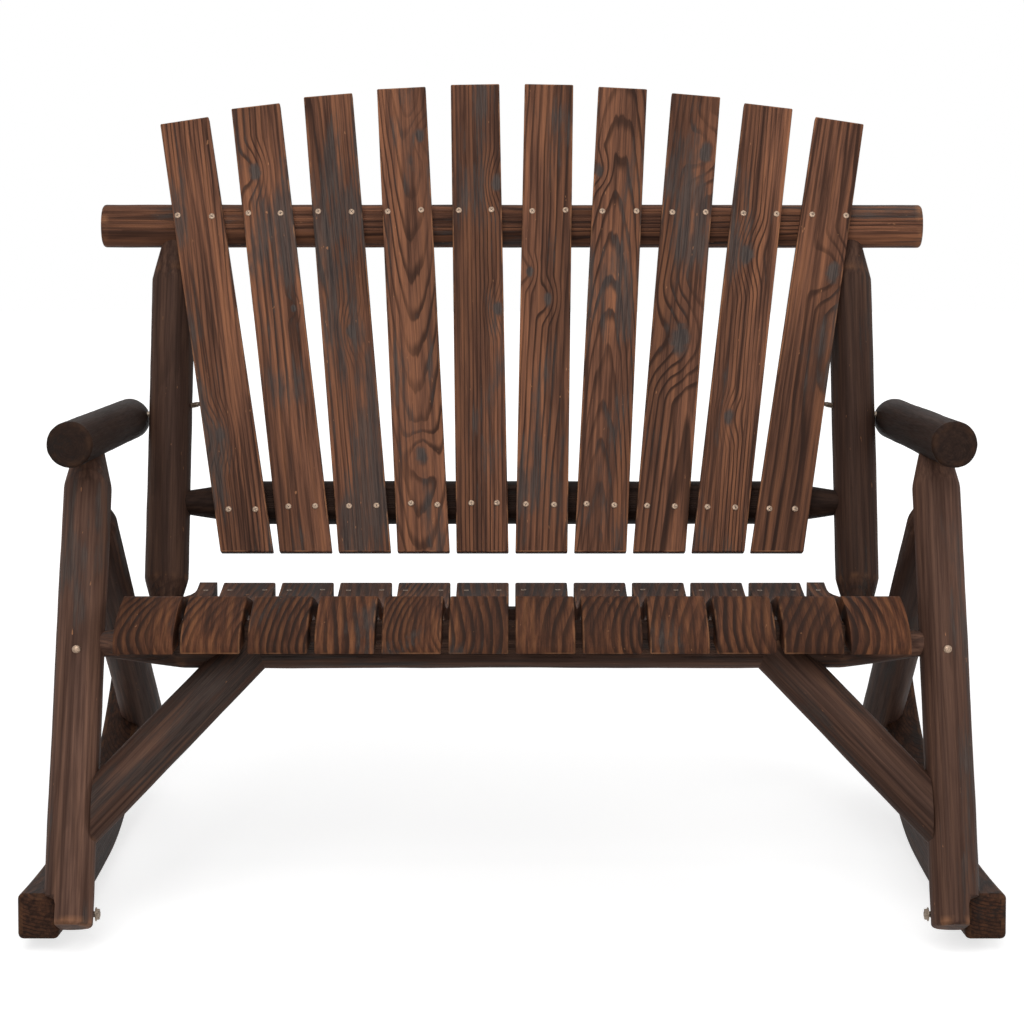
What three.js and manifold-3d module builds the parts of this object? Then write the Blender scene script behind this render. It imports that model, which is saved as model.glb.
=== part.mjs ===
// Rocking bench of round fir logs and boards, with a fanned back. Millimetres, +Z up, the front
// faces -Y. Places along Y are measured from the front tip of the rockers, and places along Z
// from the floor.
import * as THREE from 'three';
import { mergeVertices } from 'three/addons/utils/BufferGeometryUtils.js';
import Module from 'manifold-3d';

const wasm = await Module();
wasm.setup();

// Stock
const log_d = 61;
const arm_d = 57.4;
const fit_gap = 0.3;
const end_edge = 4;
const log_sides = 24;
const log_r = log_d / 2;
const arm_r = arm_d / 2;

// Rockers
const overall_w = 1200;
const rocker_t = 50;
const rocker_front_h = 56;
const rocker_rear_h = 50;
const rocker_l = 830;
const rocker_contact_y = 415;
const rocker_front_r = 4000;
const rocker_rear_r = 670;
const rocker_land = 24;
const rocker_steps = 15;
const rocker_inner_x = overall_w / 2 - rocker_t;

// Front legs lean back toward the top and are lapped on the rockers
const leg_inset = 12.5;
const leg_x = rocker_inner_x - leg_inset;
const leg_foot_y = -6.2;
const leg_foot_z = 38;
const leg_lean = THREE.MathUtils.degToRad(25.3);
const leg_point_l = 63;
const leg_point_r = 15;

// Armrests
const arm_front_y = 95;
const arm_front_z = 613;
const arm_rear_over = 89;
const arm_rear_z = 580;

// Rear legs run from the front legs down to the tails of the rockers
const rear_leg_foot_behind = 22;
const rear_leg_foot_up = 5.9;
const rear_leg_splay = 10.5;
const rear_leg_joint_z = 526;
const rear_leg_point_l = 58;
const rear_leg_point_r = 15;
const rear_leg_short = 6;

// Seat rails and their tapered ends
const front_rail_z = 356.5;
const rear_rail_z = 300.6;
const rail_taper_l = 112;
const rail_tip_r = 14;
const rail_tip_depth = 15;
const front_rail_flat = 2.6;
const front_rail_top_flat = 2;
const rear_rail_top_flat = 2;

// Back frame: posts, two rails and the plane of the slats, leaning back together
const back_lean = THREE.MathUtils.degToRad(19.87);
const back_foot_behind = 15;
const back_foot_z = 397.4;
const post_x = leg_x - arm_r - log_r - fit_gap;
const post_low_shoulder = -31;
const post_low_tip = -90;
const post_top_shoulder = 397;
const post_tip_r = 13;
const top_rail_up = 477;
const top_rail_over = 42.5;
const top_rail_half_l = leg_x + top_rail_over;
const post_tip_short = 7;
const low_rail_up = 77.2;
const low_rail_taper_l = 100;
const low_rail_tip_r = 15.5;
const low_rail_tip_depth = 14;
const back_flat = 4.3;

// Back slats, fanned
const back_slat_count = 10;
const back_slat_t = 17;
const back_slat_gap = 9.3;
const back_side_gap = 48.1;
const back_slats_w = 2 * (post_x - log_r - back_side_gap);
const back_slat_low_w = (back_slats_w - (back_slat_count - 1) * back_slat_gap) / back_slat_count;
const back_slat_low_pitch = back_slat_low_w + back_slat_gap;
const back_slat_top_share = 0.965;
const back_slat_spread_share = 0.0358;
const crown_up = 674;
const crown_r = 2078;

// Seat slats, bandsawn to a seat curve
const seat_slat_count = 12;
const seat_slat_gap = 8.9;
const seat_side_gap = 23.05;
const seat_w = 2 * (leg_x - log_r - seat_side_gap);
const seat_slat_w = (seat_w - (seat_slat_count - 1) * seat_slat_gap) / seat_slat_count;
const seat_slat_pitch = seat_slat_w + seat_slat_gap;
const seat_front_y = 50;
const seat_rear_over = 37;
const seat_front_drop = 50;
const seat_top_z = 413;
const post_notch_r = 42;

// Braces from the front rail to the front legs
const brace_rail_in = 217.5;
const brace_leg_z = 142;

// Bolts and pins
const bolt_r = 4;
const bolt_hole_gap = 0.4;
const bolt_head_r = 9;
const bolt_head_h = 4;
const bolt_sink = 5;
const nut_r = 7.5;
const nut_h = 4.5;
const bolt_end = 1.2;
const bolt_sides = 12;
const hex_sides = 6;
const front_bolt_y = 20;
const rear_bolt_in = 82;
const rear_bolt_y = rocker_l - rear_bolt_in;
const arm_bolt_in = 21;
const arm_bolt_outer_z = 577;
const arm_bolt_inner_z = 604;
const arm_bolt_point_l = 9;
const arm_bolt_point_r = 1.2;
const arm_bolt_reach = 14;
const pin_head_r = 5.5;
const pin_head_h = 3;
const pin_l = 44;
const overrun = 60;

const wood = (color) => new THREE.MeshStandardMaterial({ color, roughness: 0.6, metalness: 0 });
const metal = () => new THREE.MeshStandardMaterial({ color: 0xd8c79a, roughness: 0.3, metalness: 1 });
const log_color = 0x5a2c1e;
const board_color = 0x6e3a27;

const bench = new THREE.Group();

const vec = (x, y, z) => new THREE.Vector3(x, y, z);

// A closed geometry becomes a solid: shared vertices are merged and its faces point out
function solidOf(geometry) {
  const bare = geometry.clone();
  bare.deleteAttribute('normal');
  bare.deleteAttribute('uv');
  const merged = mergeVertices(bare);
  const points = merged.attributes.position;
  const index = merged.index.array;
  const triangles = [];
  let volume = 0;
  for (let i = 0; i < index.length; i += 3) {
    const [a, b, c] = [index[i], index[i + 1], index[i + 2]];
    if (a === b || b === c || a === c) continue;
    triangles.push(a, b, c);
    const [p, q, r] = [a, b, c].map((k) => new THREE.Vector3().fromBufferAttribute(points, k));
    volume += p.dot(q.cross(r));
  }
  if (volume < 0) triangles.reverse();
  const vertProperties = new Float32Array(points.array);
  const triVerts = new Uint32Array(triangles);
  return new wasm.Manifold(new wasm.Mesh({ numProp: 3, vertProperties, triVerts }));
}

function add(group, name, solid, material) {
  const { vertProperties, triVerts } = solid.getMesh();
  const geometry = new THREE.BufferGeometry();
  geometry.setAttribute('position', new THREE.BufferAttribute(vertProperties, 3));
  geometry.setIndex(new THREE.BufferAttribute(triVerts, 1));
  geometry.computeVertexNormals();
  const mesh = new THREE.Mesh(geometry, material);
  mesh.name = name;
  group.add(mesh);
}

// A round stick between two points. Each end narrows over its own length to its own radius.
// grow makes the tool that cuts a seat for the stick.
function stick(from, to, r, ends, sides = log_sides, grow = 0) {
  const length = from.distanceTo(to);
  const profile = [
    [0, -grow],
    [ends[0].r + grow, -grow],
    [r + grow, ends[0].l],
    [r + grow, length - ends[1].l],
    [ends[1].r + grow, length + grow],
    [0, length + grow],
  ].map(([x, y]) => new THREE.Vector2(x, y));
  const geometry = new THREE.LatheGeometry(profile, sides);
  const along = to.clone().sub(from).normalize();
  const turn = new THREE.Quaternion().setFromUnitVectors(vec(0, 1, 0), along);
  geometry.applyQuaternion(turn);
  geometry.translate(from.x, from.y, from.z);
  return solidOf(geometry);
}

// A board cut to a side outline, given as a shape in Y and Z, between two places along X
function sideBoard(shape, from_x, to_x, curveSegments = 1) {
  const options = { depth: to_x - from_x, bevelEnabled: false, curveSegments };
  const geometry = new THREE.ExtrudeGeometry(shape, options);
  const axes = new THREE.Matrix4().makeBasis(vec(0, 1, 0), vec(0, 0, 1), vec(1, 0, 0));
  geometry.applyMatrix4(axes);
  geometry.translate(from_x, 0, 0);
  return solidOf(geometry);
}

function block(low, high) {
  const size = high.clone().sub(low);
  const geometry = new THREE.BoxGeometry(size.x, size.y, size.z);
  geometry.translate((low.x + high.x) / 2, (low.y + high.y) / 2, (low.z + high.z) / 2);
  return solidOf(geometry);
}

function shapeOf(points) {
  return new THREE.Shape(points.map(([y, z]) => new THREE.Vector2(y, z)));
}

const cutEnd = (r) => ({ l: end_edge, r: r - end_edge });
const pointEnd = (l, r) => ({ l, r });

// The underside of a rocker: a flat front arc and a rounder rear arc, with a short flat land between
// them where the bench stands at rest
function rockerPoint(y) {
  const past_land = Math.max(Math.abs(y - rocker_contact_y) - rocker_land / 2, 0);
  const away = past_land * Math.sign(y - rocker_contact_y);
  const r = away < 0 ? rocker_front_r : rocker_rear_r;
  const height = rocker_front_h + (rocker_rear_h - rocker_front_h) * (y / rocker_l);
  const low = [y, r - Math.sqrt(r * r - away * away)];
  const slope = Math.asin(away / r);
  const high = [y - height * Math.sin(slope), low[1] + height * Math.cos(slope)];
  return { low, high };
}

function rockerMidZ(y) {
  const { low, high } = rockerPoint(y);
  return (low[1] + high[1]) / 2;
}

function rockerOutline() {
  const front = rocker_contact_y - rocker_land / 2;
  const rear = rocker_contact_y + rocker_land / 2;
  const shares = Array.from({ length: rocker_steps + 1 }, (_, i) => i / rocker_steps);
  const front_places = shares.map((share) => front * share);
  const rear_places = shares.map((share) => rear + (rocker_l - rear) * share);
  const steps = [...front_places, ...rear_places].map(rockerPoint);
  return { low: steps.map((step) => step.low), high: steps.map((step) => step.high) };
}

// What a leg loses where it is lapped on the rocker: all that is outside its inner face and below its top
function lapTool(side) {
  const { high } = rockerOutline();
  const raised = high.map(([y, z]) => [y, z + fit_gap]);
  const front = [-overrun - log_d, raised[0][1]];
  const rear = [rocker_l + overrun, raised[raised.length - 1][1]];
  const below = [[rear[0], -overrun], [front[0], -overrun]];
  const inner = rocker_inner_x - fit_gap;
  const outer = overall_w / 2 + overrun;
  const [from_x, to_x] = side < 0 ? [-outer, -inner] : [inner, outer];
  return sideBoard(shapeOf([front, ...raised, rear, ...below]), from_x, to_x);
}

const legY = (z) => leg_foot_y + (z - leg_foot_z) * Math.tan(leg_lean);
const front_rail_y = legY(front_rail_z);
const rear_leg_joint_y = legY(rear_leg_joint_z);
const rear_leg_foot_y = rear_bolt_y + rear_leg_foot_behind;
const rear_leg_foot_z = rockerMidZ(rear_bolt_y) + rear_leg_foot_up;
const rear_rail_share = (rear_leg_joint_z - rear_rail_z) / (rear_leg_joint_z - rear_leg_foot_z);
const rear_rail_y = rear_leg_joint_y + (rear_leg_foot_y - rear_leg_joint_y) * rear_rail_share;
const rear_leg_rail_x = leg_x + rear_leg_splay * rear_rail_share;
const back_foot_y = rear_rail_y + back_foot_behind;
const seat_rear_y = rear_rail_y + seat_rear_over;
const arm_rear_y = back_foot_y + arm_rear_over;
const arm_bolt_y = arm_rear_y - arm_bolt_in;
const arm_slope = (arm_rear_z - arm_front_z) / (arm_rear_y - arm_front_y);
const armZ = (y) => arm_front_z + (y - arm_front_y) * arm_slope;
const leg_top_z = armZ(legY(arm_front_z)) - arm_r / 2;

const back = new THREE.Group();
back.position.set(0, back_foot_y, back_foot_z);
back.rotation.x = -back_lean;
back.updateMatrix();
bench.add(back);

// Every stick as a function of how much its cutting tool grows
const frontLeg = (side) => (grow = 0) => {
  const foot = vec(side * leg_x, leg_foot_y, leg_foot_z);
  const top = vec(side * leg_x, legY(leg_top_z), leg_top_z);
  return stick(foot, top, log_r, [cutEnd(log_r), pointEnd(leg_point_l, leg_point_r)], log_sides, grow);
};

const rearLeg = (side) => (grow = 0) => {
  const foot = vec(side * (leg_x + rear_leg_splay), rear_leg_foot_y, rear_leg_foot_z);
  const joint = vec(side * leg_x, rear_leg_joint_y, rear_leg_joint_z);
  const top = joint.clone().add(foot.clone().sub(joint).setLength(rear_leg_short));
  const ends = [cutEnd(log_r), pointEnd(rear_leg_point_l, rear_leg_point_r)];
  return stick(foot, top, log_r, ends, log_sides, grow);
};

const rail = (half, y, z, taper_l, tip_r) => (grow = 0) => {
  const ends = [pointEnd(taper_l, tip_r), pointEnd(taper_l, tip_r)];
  return stick(vec(-half, y, z), vec(half, y, z), log_r, ends, log_sides, grow);
};

const front_rail_half = leg_x - log_r + rail_tip_depth;
const rear_rail_half = rear_leg_rail_x - log_r + rail_tip_depth;
const low_rail_half = post_x - log_r + low_rail_tip_depth;
const frontRail = rail(front_rail_half, front_rail_y, front_rail_z, rail_taper_l, rail_tip_r);
const rearRail = rail(rear_rail_half, rear_rail_y, rear_rail_z, rail_taper_l, rail_tip_r);
const lowRail = rail(low_rail_half, 0, low_rail_up, low_rail_taper_l, low_rail_tip_r);

const post = (side) => (grow = 0) => {
  const top = top_rail_up - post_tip_short;
  const low_end = pointEnd(post_low_shoulder - post_low_tip, post_tip_r);
  const top_end = pointEnd(top - post_top_shoulder, post_tip_r);
  const from = vec(side * post_x, 0, post_low_tip);
  return stick(from, vec(side * post_x, 0, top), log_r, [low_end, top_end], log_sides, grow);
};

const arm = (side) => {
  const from = vec(side * leg_x, arm_front_y, arm_front_z);
  const to = vec(side * leg_x, arm_rear_y, arm_rear_z);
  return stick(from, to, arm_r, [cutEnd(arm_r), cutEnd(arm_r)]);
};

// A bolt through wood: domed head, shank, nut and the end past the nut, as one turned body
function bolt(from, to) {
  const along = to.clone().sub(from).normalize();
  const at = (start, d) => start.clone().addScaledVector(along, d);
  const plain = (a, b, r, sides) => stick(a, b, r, [pointEnd(0, r), pointEnd(0, r)], sides);
  const head_ends = [pointEnd(bolt_head_h, bolt_head_r / 2), pointEnd(0, bolt_head_r)];
  const head_from = at(from, -bolt_head_h - fit_gap);
  const dome = stick(head_from, at(from, -fit_gap), bolt_head_r, head_ends, bolt_sides);
  const shank = plain(at(from, -bolt_head_h / 2), at(to, nut_h + bolt_end), bolt_r, bolt_sides);
  const nut = plain(at(to, fit_gap), at(to, nut_h), nut_r, hex_sides);
  return dome.add(shank).add(nut);
}

const boltHole = (from, to) => {
  const along = to.clone().sub(from).setLength(overrun);
  const r = bolt_r + bolt_hole_gap;
  const ends = [pointEnd(end_edge, r), pointEnd(end_edge, r)];
  return stick(from.clone().sub(along), to.clone().add(along), r, ends, bolt_sides);
};

const frontBoltEnds = (side) => {
  const z = rockerMidZ(front_bolt_y);
  const outer = overall_w / 2 - bolt_sink;
  return [vec(side * outer, front_bolt_y, z), vec(side * (leg_x - log_r), front_bolt_y, z)];
};

const rearBoltEnds = (side) => {
  const z = rockerMidZ(rear_bolt_y);
  const outer = overall_w / 2 - bolt_sink;
  const inner = leg_x + rear_leg_splay - log_r;
  return [vec(side * outer, rear_bolt_y, z), vec(side * inner, rear_bolt_y, z)];
};

const armBoltEnds = (side) => [
  vec(side * (leg_x + arm_r), arm_bolt_y, arm_bolt_outer_z),
  vec(side * (post_x - log_r - arm_bolt_reach), arm_bolt_y, arm_bolt_inner_z),
];

// The screw that pins a tenon of the front rail, driven through the leg from the front
const pinEnds = (side) => {
  const front = front_rail_y - log_r / Math.cos(leg_lean);
  return [vec(side * leg_x, front, front_rail_z), vec(side * leg_x, front + pin_l, front_rail_z)];
};

function pinScrew(side) {
  const [front, tip] = pinEnds(side);
  const head_front = front.clone().setY(front.y - pin_head_h);
  const head_ends = [pointEnd(pin_head_h, pin_head_r / 2), pointEnd(0, pin_head_r)];
  const shank_ends = [pointEnd(0, bolt_r), pointEnd(bolt_r, bolt_r / 2)];
  const shank = stick(head_front, tip, bolt_r, shank_ends, bolt_sides);
  return shank.add(stick(head_front, front, pin_head_r, head_ends, bolt_sides));
}

function pinHole(side) {
  const [front, tip] = pinEnds(side);
  const from = front.clone().setY(front.y - overrun);
  const to = tip.clone().setY(tip.y + fit_gap);
  const r = bolt_r + bolt_hole_gap;
  const seat_r = pin_head_r + fit_gap;
  const seat_end = front.clone().setY(front.y + fit_gap);
  const seat = stick(from, seat_end, seat_r, [pointEnd(0, seat_r), pointEnd(0, seat_r)], bolt_sides);
  return stick(from, to, r, [pointEnd(0, r), pointEnd(0, r)], bolt_sides).add(seat);
}

const backMatrix = back.matrix.clone();
const toWorld = (solid) => solid.transform(backMatrix.elements);
const toBack = (solid) => solid.transform(backMatrix.clone().invert().elements);

function armBolt(side) {
  const [outer, inner] = armBoltEnds(side);
  const along = inner.clone().sub(outer).normalize();
  const head_ends = [pointEnd(bolt_head_h, bolt_head_r / 2), pointEnd(0, bolt_head_r)];
  const head_from = outer.clone().addScaledVector(along, -bolt_head_h);
  const shank_ends = [pointEnd(0, bolt_r), pointEnd(arm_bolt_point_l, arm_bolt_point_r)];
  const shank = stick(head_from, inner, bolt_r, shank_ends, bolt_sides);
  return shank.add(stick(head_from, outer, bolt_head_r, head_ends, bolt_sides));
}

// The hole of a bolt with the room its head needs, open to the outside
function sunkHole(outer, inner, seat_depth) {
  const along = inner.clone().sub(outer).normalize();
  const from = outer.clone().addScaledVector(along, -overrun);
  const seat_r = bolt_head_r + fit_gap;
  const seat_end = outer.clone().addScaledVector(along, seat_depth);
  const seat = stick(from, seat_end, seat_r, [pointEnd(0, seat_r), pointEnd(0, seat_r)], bolt_sides);
  return boltHole(outer, inner).add(seat);
}

const armBoltHole = (side) => sunkHole(...armBoltEnds(side), fit_gap);

// Rockers, legs, armrests, braces and their bolts, left and right
for (const [word, side] of [['left', -1], ['right', 1]]) {
  const { low, high } = rockerOutline();
  const inner = rocker_inner_x;
  const [from_x, to_x] = side < 0 ? [-overall_w / 2, -inner] : [inner, overall_w / 2];
  const front_hole = sunkHole(...frontBoltEnds(side), 0);
  const rear_hole = sunkHole(...rearBoltEnds(side), 0);
  const rocker = sideBoard(shapeOf([...low, ...high.slice().reverse()]), from_x, to_x);
  add(bench, `rocker_${word}`, rocker.subtract(front_hole).subtract(rear_hole), wood(board_color));

  const leg = frontLeg(side)()
    .subtract(lapTool(side))
    .subtract(rearLeg(side)(fit_gap))
    .subtract(frontRail(fit_gap))
    .subtract(front_hole)
    .subtract(pinHole(side));
  add(bench, `front_leg_${word}`, leg, wood(log_color));
  const rear_leg = rearLeg(side)().subtract(lapTool(side)).subtract(rearRail(fit_gap)).subtract(rear_hole);
  add(bench, `rear_leg_${word}`, rear_leg, wood(log_color));

  const armrest = arm(side).subtract(frontLeg(side)(fit_gap)).subtract(armBoltHole(side));
  add(bench, `armrest_${word}`, armrest, wood(log_color));

  const brace_top = vec(side * (leg_x - brace_rail_in), front_rail_y, front_rail_z);
  const brace_foot = vec(side * leg_x, legY(brace_leg_z), brace_leg_z);
  const brace_ends = [pointEnd(0, log_r), pointEnd(0, log_r)];
  const reach = leg_x + overrun;
  const [near, far] = side < 0 ? [-leg_x, overrun] : [-overrun, leg_x];
  const room = block(vec(near, -reach, -reach), vec(far, reach, front_rail_z));
  const brace = stick(brace_top, brace_foot, log_r, brace_ends)
    .intersect(room)
    .subtract(frontRail(fit_gap))
    .subtract(frontLeg(side)(fit_gap));
  add(bench, `brace_${word}`, brace, wood(log_color));

  add(bench, `rocker_front_bolt_${word}`, bolt(...frontBoltEnds(side)), metal());
  add(bench, `rocker_rear_bolt_${word}`, bolt(...rearBoltEnds(side)), metal());
  add(bench, `arm_bolt_${word}`, armBolt(side), metal());
  add(bench, `rail_screw_${word}`, pinScrew(side), metal());
}

// Front rail with its milled front and top, rear rail with its milled top and the seats of the posts
const front_face_y = front_rail_y - log_r + front_rail_flat;
const front_top_z = front_rail_z + log_r - front_rail_top_flat;
const wide = overall_w;
const front_mill = block(vec(-wide, front_face_y - log_d, -wide), vec(wide, front_face_y, wide));
const front_top_mill = block(vec(-wide, -wide, front_top_z), vec(wide, wide, front_top_z + log_d));
const front_rail_solid = frontRail()
  .subtract(front_mill)
  .subtract(front_top_mill)
  .subtract(pinHole(-1))
  .subtract(pinHole(1));
add(bench, 'front_seat_rail', front_rail_solid, wood(log_color));

const rear_top_z = rear_rail_z + log_r - rear_rail_top_flat;
const rear_top_mill = block(vec(-wide, -wide, rear_top_z), vec(wide, wide + wide, rear_top_z + log_d));
const rear_rail_solid = rearRail()
  .subtract(rear_top_mill)
  .subtract(toWorld(post(-1)(fit_gap)))
  .subtract(toWorld(post(1)(fit_gap)));
add(bench, 'rear_seat_rail', rear_rail_solid, wood(log_color));

// Seat slats: the top follows the seat curve, the front hooks over the front rail
function seatShape() {
  const length = seat_rear_y - seat_front_y;
  const y = (share) => seat_front_y + length * share;
  const z = (share) => seat_top_z - seat_front_drop * share;
  const top_shares = [[0.001, 0.82], [0.01, 0.66], [0.03, 0.49], [0.069, 0.3], [0.12, 0.13],
    [0.178, 0.03], [0.227, 0], [0.335, 0.29], [0.493, 0.78], [0.69, 1.18], [0.848, 1.24], [1, 1.1]];
  const under_shares = [[0.69, 1.72], [0.493, 1.36], [0.335, 0.94]];
  const shape = new THREE.Shape();
  const under_z = rear_top_z + fit_gap;
  const hook_y = front_face_y - fit_gap;
  const saddle_z = front_top_z + fit_gap;
  shape.moveTo(y(0), z(1));
  shape.splineThru(top_shares.map(([along, drop]) => new THREE.Vector2(y(along), z(drop))));
  shape.lineTo(y(1), under_z);
  shape.lineTo(rear_rail_y - log_r, under_z);
  under_shares.forEach(([along, drop]) => shape.lineTo(y(along), z(drop)));
  shape.lineTo(front_rail_y + log_r, saddle_z);
  shape.lineTo(hook_y, saddle_z);
  shape.lineTo(hook_y, z(1));
  return shape;
}

// The outer slats are notched round the posts, and all behind the notch is cut away
function postNotch(side) {
  const r = post_notch_r;
  const ends = [pointEnd(0, r), pointEnd(0, r)];
  const round = stick(vec(side * post_x, 0, -wide), vec(side * post_x, 0, wide), r, ends);
  const [near, far] = side < 0 ? [-wide, r - post_x] : [post_x - r, wide];
  const rest = block(vec(near, 0, -wide), vec(far, wide, wide));
  return toWorld(round.add(rest));
}

for (let i = 0; i < seat_slat_count; i++) {
  const x = (i - (seat_slat_count - 1) / 2) * seat_slat_pitch;
  let slat = sideBoard(seatShape(), x - seat_slat_w / 2, x + seat_slat_w / 2, 2);
  if (i === 0) slat = slat.subtract(postNotch(-1));
  if (i === seat_slat_count - 1) slat = slat.subtract(postNotch(1));
  add(bench, `seat_slat_${String(i + 1).padStart(2, '0')}`, slat, wood(board_color));
}

// Posts and back rails, in the frame of the back
const flat_y = back_flat - log_r;
const back_mill = block(vec(-wide, -wide, -wide), vec(wide, flat_y, wide));
for (const [word, side] of [['left', -1], ['right', 1]]) {
  const solid = post(side)().subtract(lowRail(fit_gap)).subtract(toBack(armBoltHole(side)));
  add(back, `back_post_${word}`, solid, wood(log_color));
}

const top_ends = [cutEnd(log_r), cutEnd(log_r)];
const top_from = vec(-top_rail_half_l, 0, top_rail_up);
const top_to = vec(top_rail_half_l, 0, top_rail_up);
const top_rail = stick(top_from, top_to, log_r, top_ends)
  .subtract(back_mill)
  .subtract(post(-1)(fit_gap))
  .subtract(post(1)(fit_gap));
add(back, 'top_back_rail', top_rail, wood(log_color));
add(back, 'lower_back_rail', lowRail().subtract(back_mill), wood(log_color));

// Back slats: bottoms cut level, tops cut square to each slat and set on an arc
function backSlat(offset) {
  const low_x = offset * back_slat_low_pitch;
  const spread = offset * back_slat_spread_share;
  const guess_x = low_x + spread * crown_up;
  const top_up = crown_up - (crown_r - Math.sqrt(crown_r * crown_r - guess_x * guess_x));
  const lean = Math.atan(spread);
  const top_x = low_x + spread * top_up;
  const top_half = (back_slat_low_w * back_slat_top_share) / 2;
  const across = [Math.cos(lean) * top_half, -Math.sin(lean) * top_half];
  const low_half = back_slat_low_w / 2 / Math.cos(lean);
  const outline = [
    [low_x - low_half, 0],
    [low_x + low_half, 0],
    [top_x + across[0], top_up + across[1]],
    [top_x - across[0], top_up - across[1]],
  ];
  const options = { depth: back_slat_t, bevelEnabled: false };
  const geometry = new THREE.ExtrudeGeometry(shapeOf(outline), options);
  const axes = new THREE.Matrix4().makeBasis(vec(1, 0, 0), vec(0, 0, 1), vec(0, -1, 0));
  geometry.applyMatrix4(axes);
  geometry.translate(0, flat_y - fit_gap, 0);
  return solidOf(geometry);
}

for (let i = 0; i < back_slat_count; i++) {
  const offset = i - (back_slat_count - 1) / 2;
  add(back, `back_slat_${String(i + 1).padStart(2, '0')}`, backSlat(offset), wood(board_color));
}

// The origin is the middle of the bench's footprint, on the floor
const reach = new THREE.Box3().setFromObject(bench, true);
bench.position.set(0, -(reach.min.y + reach.max.y) / 2, -reach.min.z);

export default bench;
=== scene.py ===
import math
import random
from collections import namedtuple

import bmesh
import bpy
import numpy as np
from mathutils import Matrix, Quaternion, Vector, noise
from mathutils.bvhtree import BVHTree


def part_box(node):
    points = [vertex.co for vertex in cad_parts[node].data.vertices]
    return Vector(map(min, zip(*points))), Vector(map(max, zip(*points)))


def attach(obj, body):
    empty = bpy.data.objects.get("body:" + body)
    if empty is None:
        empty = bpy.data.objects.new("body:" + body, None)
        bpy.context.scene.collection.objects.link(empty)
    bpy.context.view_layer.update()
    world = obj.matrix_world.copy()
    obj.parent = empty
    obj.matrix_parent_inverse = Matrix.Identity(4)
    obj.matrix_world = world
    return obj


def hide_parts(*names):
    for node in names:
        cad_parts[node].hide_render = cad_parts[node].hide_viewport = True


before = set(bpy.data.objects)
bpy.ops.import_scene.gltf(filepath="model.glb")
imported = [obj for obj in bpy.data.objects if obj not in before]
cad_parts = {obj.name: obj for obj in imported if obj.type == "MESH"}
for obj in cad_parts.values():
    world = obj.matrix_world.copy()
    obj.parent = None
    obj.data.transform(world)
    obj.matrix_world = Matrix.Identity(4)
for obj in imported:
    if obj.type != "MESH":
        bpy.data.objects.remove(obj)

bl_info = {
    "name": "Rocking Bench",
    "version": (1, 0, 0),
    "blender": (4, 5, 0),
    "location": "View3D > Sidebar > Rocking Bench",
    "description": "Dresses a rocking bench of charred fir logs and boards",
    "category": "Object",
}

SIDES = (("left", -1), ("right", 1))
SEAT_SLATS = [f"seat_slat_{i:02d}" for i in range(1, 13)]
BACK_SLATS = [f"back_slat_{i:02d}" for i in range(1, 11)]
BACK_MIDDLE = (len(BACK_SLATS) - 1) / 2
ALONG_X, ALONG_Y = Vector((1, 0, 0)), Vector((0, 1, 0))


# Places, in metres, the same as in the CAD source

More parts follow.
